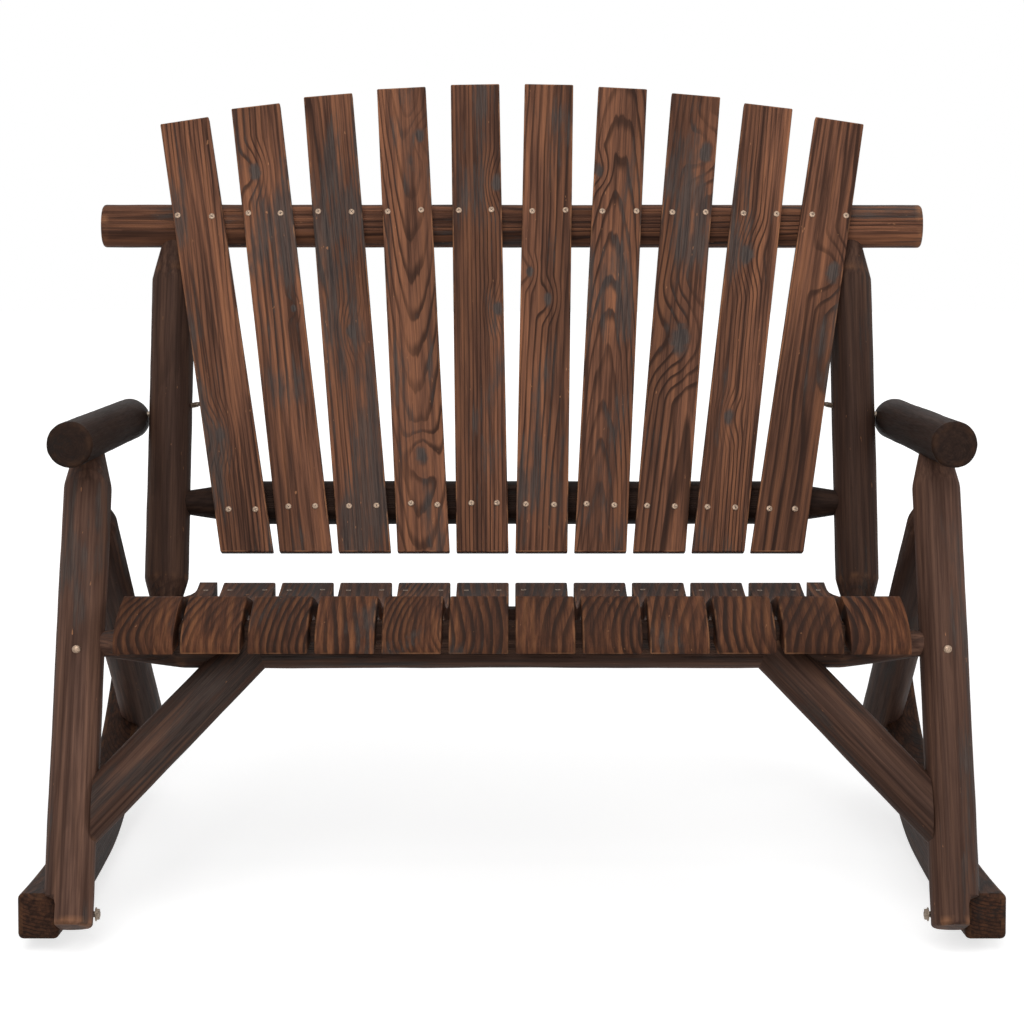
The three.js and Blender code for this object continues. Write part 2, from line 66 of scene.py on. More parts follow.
class Plan:
    """Sizes and places of the bench, in metres, measured from the rockers' front tip along Y."""

    gap = 0.0003
    log_r = 0.0305
    arm_r = 0.0287
    half_w = 0.6
    rocker_t = 0.05
    rocker_l = 0.83
    rocker_front_h = 0.056
    rocker_rear_h = 0.050
    rest_y = 0.415
    land = 0.024
    rocker_front_r = 4.0
    rocker_rear_r = 0.67
    inner_x = half_w - rocker_t
    leg_x = inner_x - 0.0125
    lean = math.radians(25.3)
    leg_foot = (-0.0062, 0.038)
    leg_taper = (0.063, 0.015)
    arm_front = (0.095, 0.613)
    arm_rear = (0.624, 0.580)
    rear_foot = (0.770, 0.110)
    rear_splay = 0.0105
    rear_joint_z = 0.526
    rear_leg_taper = (0.058, 0.015)
    rear_leg_short = 0.006
    front_rail_z = 0.3565
    rear_rail = (0.520, 0.3006)
    rail_taper = (0.112, 0.014)
    rail_in_leg = 0.015
    rear_rail_longer = 0.0057
    front_flat = 0.0026
    top_flat = 0.002
    # Painted shade: the front seat rail is darkened only within this distance of the middle, where
    # it lies under the seat slats.
    pale_beyond = 0.45
    brace_top_x = 0.320
    brace_foot_z = 0.142
    brace_short = 0.004
    brace_cut = 0.026
    back_lean = math.radians(19.87)
    back_foot = (0.535, 0.3974)
    back_flat = 0.0043
    post_x = leg_x - arm_r - log_r - gap
    post_ends = (-0.090, 0.470)
    post_tapers = ((0.059, 0.013), (0.073, 0.013))
    top_rail_up = 0.477
    top_rail_half = 0.580
    low_rail_up = 0.0772
    low_rail_in_post = 0.014
    low_rail_taper = (0.100, 0.0155)
    slat_t = 0.017
    slat_pitch = 0.0808
    slat_fan = 0.0358
    front_bolt_y = 0.020
    rear_bolt_y = 0.748
    bolt_sink = 0.005
    arm_bolt_y = 0.603
    arm_bolt_z = (0.577, 0.604)
    arm_bolt_past = 0.014
    shift = 0.398967

    @classmethod
    def leg_y(cls, z):
        return cls.leg_foot[0] + (z - cls.leg_foot[1]) * math.tan(cls.lean)

    @classmethod
    def back_matrix(cls):
        """The frame of the back: X across, -Y to the front, Z up along the posts."""
        place = Matrix.Translation((0, cls.back_foot[0] - cls.shift, cls.back_foot[1]))
        return place @ Matrix.Rotation(-cls.back_lean, 4, "X")

    @classmethod
    def at(cls, x, y, z):
        return Vector((x, y - cls.shift, z))

    @classmethod
    def rocker(cls, y):
        """The lowest and highest point of a rocker at a place along its underside."""
        past = max(abs(y - cls.rest_y) - cls.land / 2, 0)
        away = past if y > cls.rest_y else -past
        r = cls.rocker_front_r if away < 0 else cls.rocker_rear_r
        share = y / cls.rocker_l
        height = cls.rocker_front_h - (cls.rocker_front_h - cls.rocker_rear_h) * share
        low = (y, r - math.sqrt(r * r - away * away))
        slope = math.asin(away / r)
        return low, (y - height * math.sin(slope), low[1] + height * math.cos(slope))

    @classmethod
    def rocker_top_z(cls, y, steps=48):
        """How high the rocker's top stands at a place along Y."""
        tops = [cls.rocker(cls.rocker_l * i / steps)[1] for i in range(steps + 1)]
        return float(np.interp(y, [p[0] for p in tops], [p[1] for p in tops]))


# Settings that a user would change

def length_setting(name, description, value):
    return bpy.props.FloatProperty(
        name=name, description=description, default=value, precision=4, unit="LENGTH")


def colour_setting(name, surface, value):
    return bpy.props.FloatVectorProperty(
        name=name, description=f"Colour of {surface}", default=value, subtype="COLOR", min=0, max=1)


class BenchLogs(bpy.types.PropertyGroup):
    around: bpy.props.IntProperty(
        name="Sides", description="Faces round a log", default=72, min=24, max=128)
    step: length_setting("Step", "Distance between the rings of faces along a log", 0.006)
    unevenness: length_setting(
        "Unevenness", "How far a log's surface departs from a true round", 0.0007)


class BenchBoards(bpy.types.PropertyGroup):
    back_edge: length_setting("Back slat edge", "Rounding of the back slats' edges", 0.0018)
    seat_edge: length_setting("Seat slat edge", "Rounding of the seat slats' edges", 0.0022)
    rocker_edge: length_setting("Rocker edge", "Rounding of the rockers' edges", 0.007)


class BenchFinish(bpy.types.PropertyGroup):
    light: colour_setting(
        "Light grain", "the brushed grain that stands proud", (0.292, 0.120, 0.060))
    middle: colour_setting("Stained fir", "the stained wood", (0.152, 0.065, 0.038))
    seat_light: colour_setting(
        "Light seat grain", "the light rings on the seat slats", (0.285, 0.112, 0.048))
    seat_middle: colour_setting(
        "Stained seat", "the stained wood of the seat slats", (0.140, 0.052, 0.026))
    log_light: colour_setting(
        "Light log", "the brushed fibres on the shaved logs", (0.182, 0.095, 0.063))
    log_middle: colour_setting(
        "Stained log", "the stained wood of the logs", (0.100, 0.052, 0.037))
    dark: colour_setting("Dark grain", "the scorched grain", (0.026, 0.012, 0.008))
    char: colour_setting("Char", "the charred patches and knots", (0.030, 0.025, 0.024))
    ash: colour_setting("Ash", "the greyed fibres in the char", (0.088, 0.069, 0.060))
    # The deep stain colour paints both stain and shade: each piece's depth mixes it in, more on
    # pieces that lie in shade.
    stain_and_shade: colour_setting("Deep stain", "the darkest stain", (0.006, 0.003, 0.002))
    worn: colour_setting("Worn edge", "bare wood where an edge is worn", (0.42, 0.19, 0.09))


class BenchScrews(bpy.types.PropertyGroup):
    head_r: length_setting("Head radius", "Radius of a slat screw's head", 0.0043)
    head_h: length_setting("Head height", "How far a slat screw's head stands proud", 0.0013)
    drive: length_setting("Drive width", "Length of the cross recess in a screw's head", 0.0042)
    spread: length_setting("Spread", "Distance of a screw from the middle of its slat", 0.0185)


class BenchStage(bpy.types.PropertyGroup):
    lens: bpy.props.FloatProperty(
        name="Lens", description="Focal length of the camera in millimetres", default=94.92,
        unit="CAMERA")
    height: length_setting("Camera height", "Height of the camera over the floor", 1.045)
    distance: length_setting(
        "Camera distance", "Distance of the camera in front of the bench's middle", 3.552)
    pitch: bpy.props.FloatProperty(
        name="Pitch", description="How far the camera looks down", default=math.radians(9),
        subtype="ANGLE")


# Shader nodes

class Nodes:
    """A node tree under construction, with short calls for the nodes it needs."""

    def __init__(self, tree):
        self.tree = tree
        tree.nodes.clear()

    def node(self, kind, **values):
        made = self.tree.nodes.new(kind)
        for key, value in values.items():
            setattr(made, key, value)
        return made

    def feed(self, socket, value):
        if isinstance(value, bpy.types.NodeSocket):
            self.tree.links.new(value, socket)
        else:
            socket.default_value = value

    def fed(self, kind, values, output=0, **settings):
        """A new node with its inputs fed, by name from a dictionary or else in their order."""
        made = self.node(kind, **settings)
        pairs = values.items() if isinstance(values, dict) else enumerate(values)
        for key, value in pairs:
            self.feed(made.inputs[key], value)
        return made.outputs[output] if made.outputs else made

    def attribute(self, name, output):
        return self.node("ShaderNodeAttribute", attribute_name=name).outputs[output]

    def math(self, operation, *values):
        return self.fed("ShaderNodeMath", values, operation=operation)

    def plus(self, first, second):
        return self.math("ADD", first, second)

    def less(self, first, second):
        return self.math("SUBTRACT", first, second)

    def times(self, first, second):
        return self.math("MULTIPLY", first, second)

    def vector(self, operation, *values, output=0):
        return self.fed("ShaderNodeVectorMath", values, output, operation=operation)

    def split(self, vector):
        return self.fed("ShaderNodeSeparateXYZ", (vector,)).node.outputs

    def join(self, x, y, z):
        return self.fed("ShaderNodeCombineXYZ", (x, y, z))

    def noise(self, place, stretch, detail=2.0, rough=0.5, output=0):
        """Noise with as many waves to the metre along each axis as stretch says."""
        return self.fed("ShaderNodeTexNoise", {
            "Vector": self.vector("MULTIPLY", place, stretch), "Scale": 1.0, "Detail": detail,
            "Roughness": rough}, output)

    def spread(self, value, low, high, to_low=0.0, to_high=1.0, smooth=True):
        return self.fed("ShaderNodeMapRange", (value, low, high, to_low, to_high),
                        interpolation_type="SMOOTHSTEP" if smooth else "LINEAR")

    def mix(self, factor, first, second):
        pair = [v if isinstance(v, bpy.types.NodeSocket) else (*v, 1.0) for v in (first, second)]
        return self.fed("ShaderNodeMix", {0: factor, 6: pair[0], 7: pair[1]}, 2, data_type="RGBA")


class Shade(Nodes):
    """A material under construction on one principled surface."""

    def __init__(self, name):
        self.material = bpy.data.materials.new(name)
        self.material.use_nodes = True
        super().__init__(self.material.node_tree)
        self.surface = self.node("ShaderNodeBsdfPrincipled")
        self.fed("ShaderNodeOutputMaterial", (self.surface.outputs[0],))

    def set(self, **values):
        """Feed the surface, with an input's name in lower case and joined by underscores."""
        for socket in self.surface.inputs:
            key = socket.name.lower().replace(" ", "_")
            if key in values:
                self.feed(socket, values[key])

    def bump(self, height, strength, distance):
        self.set(normal=self.fed("ShaderNodeBump", {
            "Height": height, "Strength": strength, "Distance": distance}))


# How a kind of wood looks: its two colours, the width of a year ring and how far the rings wander,
# in metres, how ragged they are, how dark late wood is and where in a ring it starts, the noise
# levels between which it chars, how fast streaks change through it, and how dark they are.
Wood = namedtuple("Wood", "light middle ring bend uneven late late_low char roll streaks")
WOODS = {
    "log_fir": Wood(
        "log_light", "log_middle", 0.0034, 0.006, 1.0, 0.30, 0.50, (0.53, 0.66), 1.0, 0.55),
    "board_fir": Wood("light", "middle", 0.0046, 0.008, 0.9, 0.90, 0.50, (0.53, 0.65), 1.0, 0.76),
    "seat_fir": Wood(
        "seat_light", "seat_middle", 0.0052, 0.010, 0.6, 0.95, 0.30, (0.58, 0.72), 0.12, 0.76),
}
REED_PITCH = 0.0031

# The colour and roughness of each plated metal
METALS = {
    "brass_plate": ((0.30, 0.24, 0.19), 0.36),
    "screw_plate": ((0.36, 0.26, 0.19), 0.42),
}


def knots(s, place):
    """How deep in a knot each point lies, and how far the rings are pushed out round it."""
    knot, halo = 0.0, 0.0
    ragged = s.noise(s.attribute("grain", "Vector"), (90, 90, 90))
    for label in ("knot_a", "knot_b"):
        given = s.split(s.attribute(label, "Vector"))
        along = s.times(s.less(place[2], given[1]), 0.60)
        off = s.join(s.less(place[0], given[0]), 0.0, along)
        size = s.math("MAXIMUM", given[2], 0.00001)
        away = s.math("DIVIDE", s.vector("LENGTH", off, output=1), size)
        torn = s.plus(away, s.times(s.less(ragged, 0.5), 1.1))
        shown = s.spread(given[2], 0.001, 0.003)
        core = s.times(s.spread(torn, 0.55, 1.25, 1.0, 0.0), shown)
        wide = s.times(s.spread(away, 0.2, 4.2, 1.0, 0.0), size)
        knot = s.math("MAXIMUM", knot, core)
        halo = s.plus(halo, s.times(wide, 1.15))
    return knot, halo


def late_wood(s, wood, grain, long, halo):
    """The late wood of the year rings, which run round the pith and round the knots."""
    slow = s.noise(grain, (11, 11, 2.4), output=1)
    push = s.vector("SUBTRACT", slow, (0.5, 0.5, 0.5))
    bent = s.vector("ADD", grain, s.vector("MULTIPLY", push, (wood.bend,) * 3))
    flat = s.vector("MULTIPLY", bent, (1, 1, 0))
    radius = s.plus(s.vector("LENGTH", flat, output=1), halo)
    uneven = s.times(s.noise(grain, (60, 60, 5)), wood.uneven)
    part = s.math("FRACT", s.plus(s.math("DIVIDE", radius, wood.ring), uneven))
    low = wood.late_low
    late = s.times(s.spread(part, low, low * 0.4 + 0.6),
                  s.spread(part, 0.90, 1.0, 1.0, 0.0))
    strong = s.noise(long, (22, 22, 3))
    return s.times(late, s.spread(strong, 0.30, 0.62, 0.25, 1.0))


def scorched(s, wood, grain, late, streak, knot):
    """How charred each point is: in slow patches that follow the grain, and at the knots."""
    patch = s.noise(grain, (19, 19, 4.0), detail=5, rough=0.62)
    patch = s.plus(patch, s.times(late, 0.05))
    patch = s.plus(patch, s.times(s.less(streak, 0.5), -0.22))
    scorch = s.spread(patch, *wood.char, 0.0, 0.76)
    return s.math("MAXIMUM", scorch, s.times(knot, 0.93))


def relief(s, late, fibre, streak, knot):
    """Bumps of the late wood, the fibres and the milled reeds, and hollows at the knots."""
    lines = s.times(s.attribute("lines", "Fac"), 2 * math.pi / REED_PITCH)
    reeds = s.times(s.math("SINE", lines), s.attribute("reed", "Fac"))
    height = 0.0
    for part, share in ((late, 0.5), (fibre, 0.55), (streak, 0.5), (knot, -0.6), (reeds, 0.8)):
        height = s.plus(height, s.times(part, share))
    s.bump(height, 0.6, 0.0008)


def fir(name):
    """Stained and scorched fir. Its rings and fibres follow each piece's grain attribute, which
    holds the place across the trunk in x and y and along it in z, and its knots stand where the
    knot attributes put them on the piece."""
    s = Shade(name)
    wood = WOODS[name]
    finish = bpy.context.scene.bench_finish
    grain = s.attribute("grain", "Vector")
    place = s.split(s.attribute("place", "Vector"))
    long = s.join(place[0], s.times(place[1], wood.roll), s.split(grain)[2])
    knot, halo = knots(s, place)
    late = late_wood(s, wood, grain, long, halo)
    fibre = s.noise(long, (900, 900, 22), detail=3, rough=0.65)
    streak = s.noise(long, (150, 150, 4), detail=5, rough=0.62)
    tone = s.noise(long, (9, 9, 1.5), detail=1)

    colour = s.mix(s.spread(streak, 0.44, 0.70), getattr(finish, wood.middle),
                   getattr(finish, wood.light))
    for amount in (s.times(late, wood.late),
                   s.spread(streak, 0.51, 0.33, 0.0, wood.streaks),
                   s.spread(fibre, 0.50, 0.76, 0.0, wood.streaks * 0.68),
                   s.spread(tone, 0.36, 0.66, 0.0, 0.46)):
        colour = s.mix(amount, colour, finish.dark)
    grey = s.mix(s.spread(fibre, 0.36, 0.66), finish.char, finish.ash)
    colour = s.mix(scorched(s, wood, grain, late, streak, knot), colour, grey)
    rub = s.noise(grain, (60, 60, 26), detail=3)
    rubbed = s.times(s.attribute("wear", "Fac"), s.spread(rub, 0.42, 0.66, 0.0, 0.55))
    colour = s.mix(rubbed, colour, finish.worn)
    fleck = s.noise(grain, (260, 260, 60))
    colour = s.mix(s.spread(fleck, 0.735, 0.78, 0.0, 0.6), colour, finish.worn)
    # Stain and painted shade: each piece's depth darkens it towards the deep stain colour.
    colour = s.mix(s.attribute("depth", "Fac"), colour, finish.stain_and_shade)
    rough = s.plus(s.times(fibre, 0.30), 0.50)
    s.set(base_color=colour, roughness=rough, specular_ior_level=0.08)
    relief(s, late, fibre, streak, knot)
    return s.material


def plate(name):
    """Plated steel with a few rubbed and tarnished spots."""
    s = Shade(name)
    bright, rough = METALS[name]
    dull = tuple(c * 0.45 for c in bright)
    spots = s.noise(s.node("ShaderNodeTexCoord").outputs["Object"], (700, 700, 700), detail=3)
    s.set(base_color=s.mix(s.spread(spots, 0.45, 0.70), bright, dull), metallic=1.0,
          roughness=s.plus(s.times(spots, 0.25), rough))
    s.bump(spots, 0.15, 0.0002)
    return s.material


def recess(name):
    """The shadowed metal inside a screw's cross recess."""
    s = Shade(name)
    # Painted shade: the recess is drawn as dark metal, with a little grime varying its darkness.
    grime_and_shade = s.noise(s.node("ShaderNodeTexCoord").outputs["Object"], (900, 900, 900))
    s.set(base_color=s.mix(grime_and_shade, (0.02, 0.014, 0.01), (0.08, 0.06, 0.045)), metallic=0.4,
          roughness=0.6)
    return s.material


def material(name):
    """One of the bench's materials, made when it is first asked for."""
    found = bpy.data.materials.get(name)
    if found:
        return found
    if name in WOODS:
        return fir(name)
    return plate(name) if name in METALS else recess(name)


# Pieces

def link(name, data):
    made = bpy.data.objects.new(name, data)
    bpy.context.scene.collection.objects.link(made)
    return made


def write_layer(mesh, name, values, domain="POINT"):
    """Write an attribute, of vectors where the values have rows of their own."""
    values = np.asarray(values, np.float32)
    kind, key = ("FLOAT_VECTOR", "vector") if values.ndim == 2 else ("FLOAT", "value")
    mesh.attributes.new(name, kind, domain).data.foreach_set(key, values.ravel())


def finish_piece(mesh, name, node, look):
    """The object of a finished mesh, standing for its CAD node and riding on the bench."""
    mesh.materials.clear()
    mesh.materials.append(material(look))
    piece = link(name, mesh)
    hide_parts(node)
    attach(piece, "root")
    return piece


class Cut:
    """Where in the trunk a piece was cut: its pith beside it and how that drifts along the piece,
    how wide the rings are, how deep its stain and painted shade go, up to two knots on it, and how
    far from the bench's middle the stain and painted shade fade, if they do."""

    seed_step = 3.7
    log_pith = 0.012
    log_drift = 0.016
    fade = 0.02

    def __init__(self, seed, pith, drift, rings=1.0, depth=0.0, knots=(), pale_beyond=None):
        self.seed, self.pith, self.drift = seed, pith, drift
        self.rings, self.depth, self.knots = rings, depth, knots
        self.pale_beyond = pale_beyond

    @classmethod
    def of_log(cls, seed, depth, pale_beyond=None):
        rng = random.Random(seed)
        pith = [rng.uniform(-cls.log_pith, cls.log_pith) for _ in range(2)]
        drift = [rng.uniform(-cls.log_drift, cls.log_drift) for _ in range(2)]
        return cls(seed, pith, drift, depth=depth, pale_beyond=pale_beyond)

    def write(self, mesh, along, across, origin):
        points = np.array([v.co for v in mesh.vertices])
        depth = along.cross(across)
        rel = points - np.array(origin)
        u, v, w = (rel @ np.array(axis) for axis in (across, depth, along))
        x = (u - self.pith[0] - self.drift[0] * w) / self.rings
        y = (v - self.pith[1] - self.drift[1] * w) / self.rings
        write_layer(mesh, "grain", np.stack([x, y, w + self.seed * self.seed_step], axis=1))
        write_layer(mesh, "place", np.stack([u, v, w], axis=1))
        # Painted shade and stain: every point gets the piece's depth, faded out past the given
        # distance from the bench's middle, where no shade falls.
        stain_and_shade = np.full(len(points), self.depth)
        if self.pale_beyond:
            stain_and_shade *= 1 - np.clip((np.abs(points[:, 0]) - self.pale_beyond) / self.fade, 0, 1)
        write_layer(mesh, "depth", stain_and_shade)
        knots = [*self.knots, (0, 0, 0), (0, 0, 0)][:2]
        for label, knot in zip(("knot_a", "knot_b"), knots):
            write_layer(mesh, label, np.tile(knot, (len(points), 1)))


# A log's end is the length that it takes up and the radius of its tip, with no tip where the end
# is sawn and its edge rounded. A taper bulges by a share of how much it narrows. A log's bumps
# are a slow and a quick noise, each with a pace round the log and one along it.
SAWN = (0.005, None)
BULGE_SHARE = 0.10
CAP_SHARES = (0.4, 0.75)
SHIFT_STEP = (7.1, 3.3, 0)
BUMP_WAVES = ((1.3, 7), (4, 28))
QUICK_SHARE = 0.45
END_WEAR_SHARE = 0.6
END_WEAR_L = 0.007
REEDED_FROM = 0.0004
LOG_SHARP = math.radians(32)
BOARD_SHARP = math.radians(35)
METAL_SHARP = math.radians(38)
BOARD_CORNER = math.radians(40)
BOARD_WEAR = 0.9
BOARD_WELD = 1e-5
BOARD_EVEN = math.radians(0.5)


def end_radius(from_end, end, radius):
    """How thick a log is near one of its ends: sawn with a rounded edge, or shaved to a taper."""
    length, tip = end
    if from_end >= length:
        return radius
    if tip is None:
        return radius - length + math.sqrt(max(length ** 2 - (length - from_end) ** 2, 0))
    share = from_end / length
    return tip + (radius - tip) * (share + BULGE_SHARE * share * (1 - share))


def log_stations(length, ends, step):
    """Places along a log, closer together where an end is rounded."""
    places = {0.0, length}
    for turn in range(15, 91, 15):
        for end, back in zip(ends, (False, True)):
            if end[1] is None:
                near = end[0] * (1 - math.cos(math.radians(turn)))
                places.add(length - near if back else near)
    count = max(int(length / step), 2)
    places.update(length * i / count for i in range(1, count))
    return sorted(places)


def log_mesh(name, start, end, radius, ends, cut, shape=None):
    """A shaved log between two points as a closed mesh. shape moves its points onto sawn faces
    and gives back which of them are milled, and where their reeds lie."""
    size = bpy.context.scene.bench_logs
    n = size.around
    axis = (end - start).normalized()
    across = axis.orthogonal().normalized()
    depth = axis.cross(across)
    length = (end - start).length
    turn = [2 * math.pi * i / n for i in range(n)]
    ring = np.array([[math.cos(a), math.sin(a)] for a in turn])
    base, ahead, left, up = (np.array(v) for v in (start, axis, across, depth))
    rows, shift = [], Vector([cut.seed * step for step in SHIFT_STEP])
    spans = [(0.0, share) for share in CAP_SHARES]
    spans += [(place, 1.0) for place in log_stations(length, ends, size.step)]
    spans += [(length, share) for share in reversed(CAP_SHARES)]
    for place, share in spans:
        thick = min(end_radius(place, ends[0], radius), end_radius(length - place, ends[1], radius))
        bumps = []
        for c, d in ring:
            slow, quick = (noise.noise(Vector((c * round_it, d * round_it, place * along)) + shift)
                           for round_it, along in BUMP_WAVES)
            bumps.append(size.unevenness * (slow + QUICK_SHARE * quick - 0.5))
        r = (thick * share + np.array(bumps) * share)[:, None]
        rows.append(base + ahead * place + ring[:, :1] * r * left + ring[:, 1:] * r * up)
    points = np.concatenate([[base], *rows, [np.array(end)]])
    points, reed, lines = (shape or flats())(points)
    last = len(points) - 1
    firsts = [1 + row * n for row in range(len(rows))]
    faces = [(0, 1 + (i + 1) % n, 1 + i) for i in range(n)]
    for a, b in zip(firsts, firsts[1:]):
        faces += [(a + i, a + (i + 1) % n, b + (i + 1) % n, b + i) for i in range(n)]
    faces += [(firsts[-1] + i, firsts[-1] + (i + 1) % n, last) for i in range(n)]
    mesh = bpy.data.meshes.new(name)
    mesh.from_pydata(points.tolist(), [], faces)
    near_end = np.zeros(len(points))
    for first, (place, share) in zip(firsts, spans):
        close = [min(abs(place - at), abs(length - place - at)) for at in (ends[0][0], 0.0)]
        near_end[first:first + n] = max(0.0, 1 - min(close) / END_WEAR_L) * (share == 1)
    cut.write(mesh, axis, across, start)
    write_layer(mesh, "wear", near_end * END_WEAR_SHARE)
    write_layer(mesh, "reed", reed)
    write_layer(mesh, "lines", lines)
    mesh.shade_smooth()
    mesh.set_sharp_from_angle(angle=LOG_SHARP)
    return mesh


def flats(*planes):
    """A log's shape function for milled faces. A plane is a point, its outward normal, the
    direction across its reeds, and whether it has reeds."""
    def shape(points):
        reed, lines = np.zeros(len(points)), np.zeros(len(points))
        for at, normal, across, reeded in planes:
            over = (points - np.array(at)) @ np.array(normal)
            cut = over > 0
            points = points - np.where(cut, over, 0)[:, None] * np.array(normal)
            lines = np.where(cut, points @ np.array(across), lines)
            reed = np.where(cut & (over > REEDED_FROM), float(reeded), reed)
        return points, reed, lines
    return shape


def lap(side):
    """A leg's half-lap: what lies beside the rocker is cut back to the rocker's inner face."""
    def shape(points):
        points = points.copy()
        top = np.array([Plan.rocker_top_z(y + Plan.shift) for y in points[:, 1]])
        low = points[:, 2] < top + Plan.gap
        face = Plan.inner_x - Plan.gap
        out = low & (side * points[:, 0] > face)
        points[out, 0] = side * face
        return points, np.zeros(len(points)), np.zeros(len(points))
    return shape


# depth darkens a log towards the deep stain colour, for its stain and for the shade painted on
# pieces that lie in shade.
def add_log(node, start, end, ends, seed, depth=0.0, radius=Plan.log_r, shape=None,
            look="log_fir", pale_beyond=None):
    cut = Cut.of_log(seed, depth, pale_beyond)
    mesh = log_mesh(node + "_wood", start, end, radius, ends, cut, shape)
    finish_piece(mesh, node + "_wood", node, look)


def saw_off(mesh, at, normal):
    """Saw a mesh off at a plane and close it there."""
    bm = bmesh.new()
    bm.from_mesh(mesh)
    everything = bm.verts[:] + bm.edges[:] + bm.faces[:]
    made = bmesh.ops.bisect_plane(
        bm, geom=everything, plane_co=at, plane_no=normal, clear_outer=True)
    rim = [e for e in made["geom_cut"] if isinstance(e, bmesh.types.BMEdge)]
    bmesh.ops.edgeloop_fill(bm, edges=rim)
    bmesh.ops.recalc_face_normals(bm, faces=bm.faces)
    bm.to_mesh(mesh)
    bm.free()
    mesh.set_sharp_from_angle(angle=LOG_SHARP)


def add_board(node, edge, along, across, cut, look="board_fir", shortest=0.0035):
    """A board made from a copy of its CAD mesh, with rounded edges and the grain of a plank."""
    bm = bmesh.new()
    bm.from_mesh(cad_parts[node].data)
    bmesh.ops.remove_doubles(bm, verts=bm.verts, dist=BOARD_WELD)
    bmesh.ops.dissolve_limit(bm, angle_limit=BOARD_EVEN, verts=bm.verts, edges=bm.edges)
    sharp = [e for e in bm.edges if len(e.link_faces) == 2
             and e.calc_face_angle(0) > BOARD_CORNER and e.calc_length() > shortest]
    made = bmesh.ops.bevel(
        bm, geom=sharp, offset=edge, segments=4, profile=0.5, affect="EDGES", clamp_overlap=True)
    rounded = set(made["faces"])
    bm.faces.index_update()
    wear = [BOARD_WEAR if f in rounded else 0.0 for f in bm.faces]
    mesh = bpy.data.meshes.new(node + "_wood")
    bm.to_mesh(mesh)
    bm.free()
    low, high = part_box(node)
    cut.write(mesh, along, across, (low + high) / 2)
    write_layer(mesh, "wear", wear, "FACE")
    mesh.shade_smooth()
    mesh.set_sharp_from_angle(angle=BOARD_SHARP)
    piece = finish_piece(mesh, node + "_wood", node, look)
    even = piece.modifiers.new("even normals", "WEIGHTED_NORMAL")
    even.keep_sharp = True


def turned(parts, name):
    """A turned metal piece: each part is a start, a direction, a profile of (place, radius)
    pairs and a number of sides."""
    bm = bmesh.new()
    for start, axis, profile, count in parts:
        across = axis.orthogonal().normalized()
        depth = axis.cross(across)
        rows = []
        for place, r in profile:
            at = start + axis * place
            if r == 0:
                rows.append([bm.verts.new(at)])
                continue
            rows.append([bm.verts.new(at + (across * math.cos(a) + depth * math.sin(a)) * r)
                         for a in (2 * math.pi * i / count for i in range(count))])
        for a, b in zip(rows, rows[1:]):
            for i in range(count):
                j = (i + 1) % count
                if len(a) == 1:
                    bm.faces.new((a[0], b[j], b[i]))
                elif len(b) == 1:
                    bm.faces.new((a[i], a[j], b[0]))
                else:
                    bm.faces.new((a[i], a[j], b[j], b[i]))
    bmesh.ops.recalc_face_normals(bm, faces=bm.faces)
    mesh = bpy.data.meshes.new(name)
    bm.to_mesh(mesh)
    bm.free()
    mesh.shade_smooth()
    mesh.set_sharp_from_angle(angle=METAL_SHARP)
    return mesh


# Sizes of the bolts and screws, in metres. A profile is a row of places along the axis, each
# with its radius, and a head's size is its height and radius.
THREAD_PITCH = 0.0007
THREAD_ROOT = 0.86
BOLT_R = 0.004
BOLT_HEAD = (0.004, 0.009)
BOLT_END = 0.0057
BOLT_THREAD = 0.018
BOLT_PLAIN = 0.02
BOLT_UNDER_HEAD = 0.0005
HEAD_LIP = 0.0001
NUT = ((0.0, 0.0), (0.0, 0.0066), (0.0006, 0.0075), (0.0036, 0.0075), (0.0042, 0.0066),
       (0.0042, 0.0))
WASHER = ((-0.0003, 0.0), (-0.0003, 0.0085), (0.0009, 0.0085), (0.0009, 0.0))
ARM_BOLT_PLAIN = 0.022
ARM_BOLT_THREAD = (0.021, 0.008)
ARM_BOLT_POINT = ((-0.003, 0.0026), (0.0, 0.0008), (0.0, 0.0))
RAIL_SCREW_HEAD = (0.003, 0.0055)
RAIL_SCREW_SHANK = ((0.0, 0.0035), (0.03, 0.0035), (0.0435, 0.001), (0.0435, 0.0))


def dome(height, radius):
    """The profile of a domed head, from its crown over its rim to its flat underside."""
    steps = [math.radians(10 * i) for i in range(10)]
    over = [(height * (1 - math.cos(a)), radius * math.sin(a)) for a in steps]
    return [*over, (height + HEAD_LIP, 0.0)]


def threads(start, end, radius):
    """The profile of a threaded end, as rings."""
    count = max(int((end - start) / THREAD_PITCH), 2)
    return [(start + (end - start) * i / count, radius * (THREAD_ROOT if i % 2 else 1.0))
            for i in range(count + 1)]


def rocker_bolt(outer, inner):
    """A bolt from the face its head sits on to where its nut and washer sit."""
    axis = (inner - outer).normalized()
    reach = (inner - outer).length
    end = reach + BOLT_END
    shank = [(0.0, BOLT_R), (reach - BOLT_PLAIN, BOLT_R),
             *threads(reach - BOLT_THREAD, end, BOLT_R), (end, 0.0)]
    return [(outer - axis * (BOLT_HEAD[0] + Plan.gap), axis, dome(*BOLT_HEAD), 32),
            (outer - axis * BOLT_UNDER_HEAD, axis, shank, 24),
            (inner + axis * Plan.gap, axis, NUT, 6), (inner, axis, WASHER, 28)]


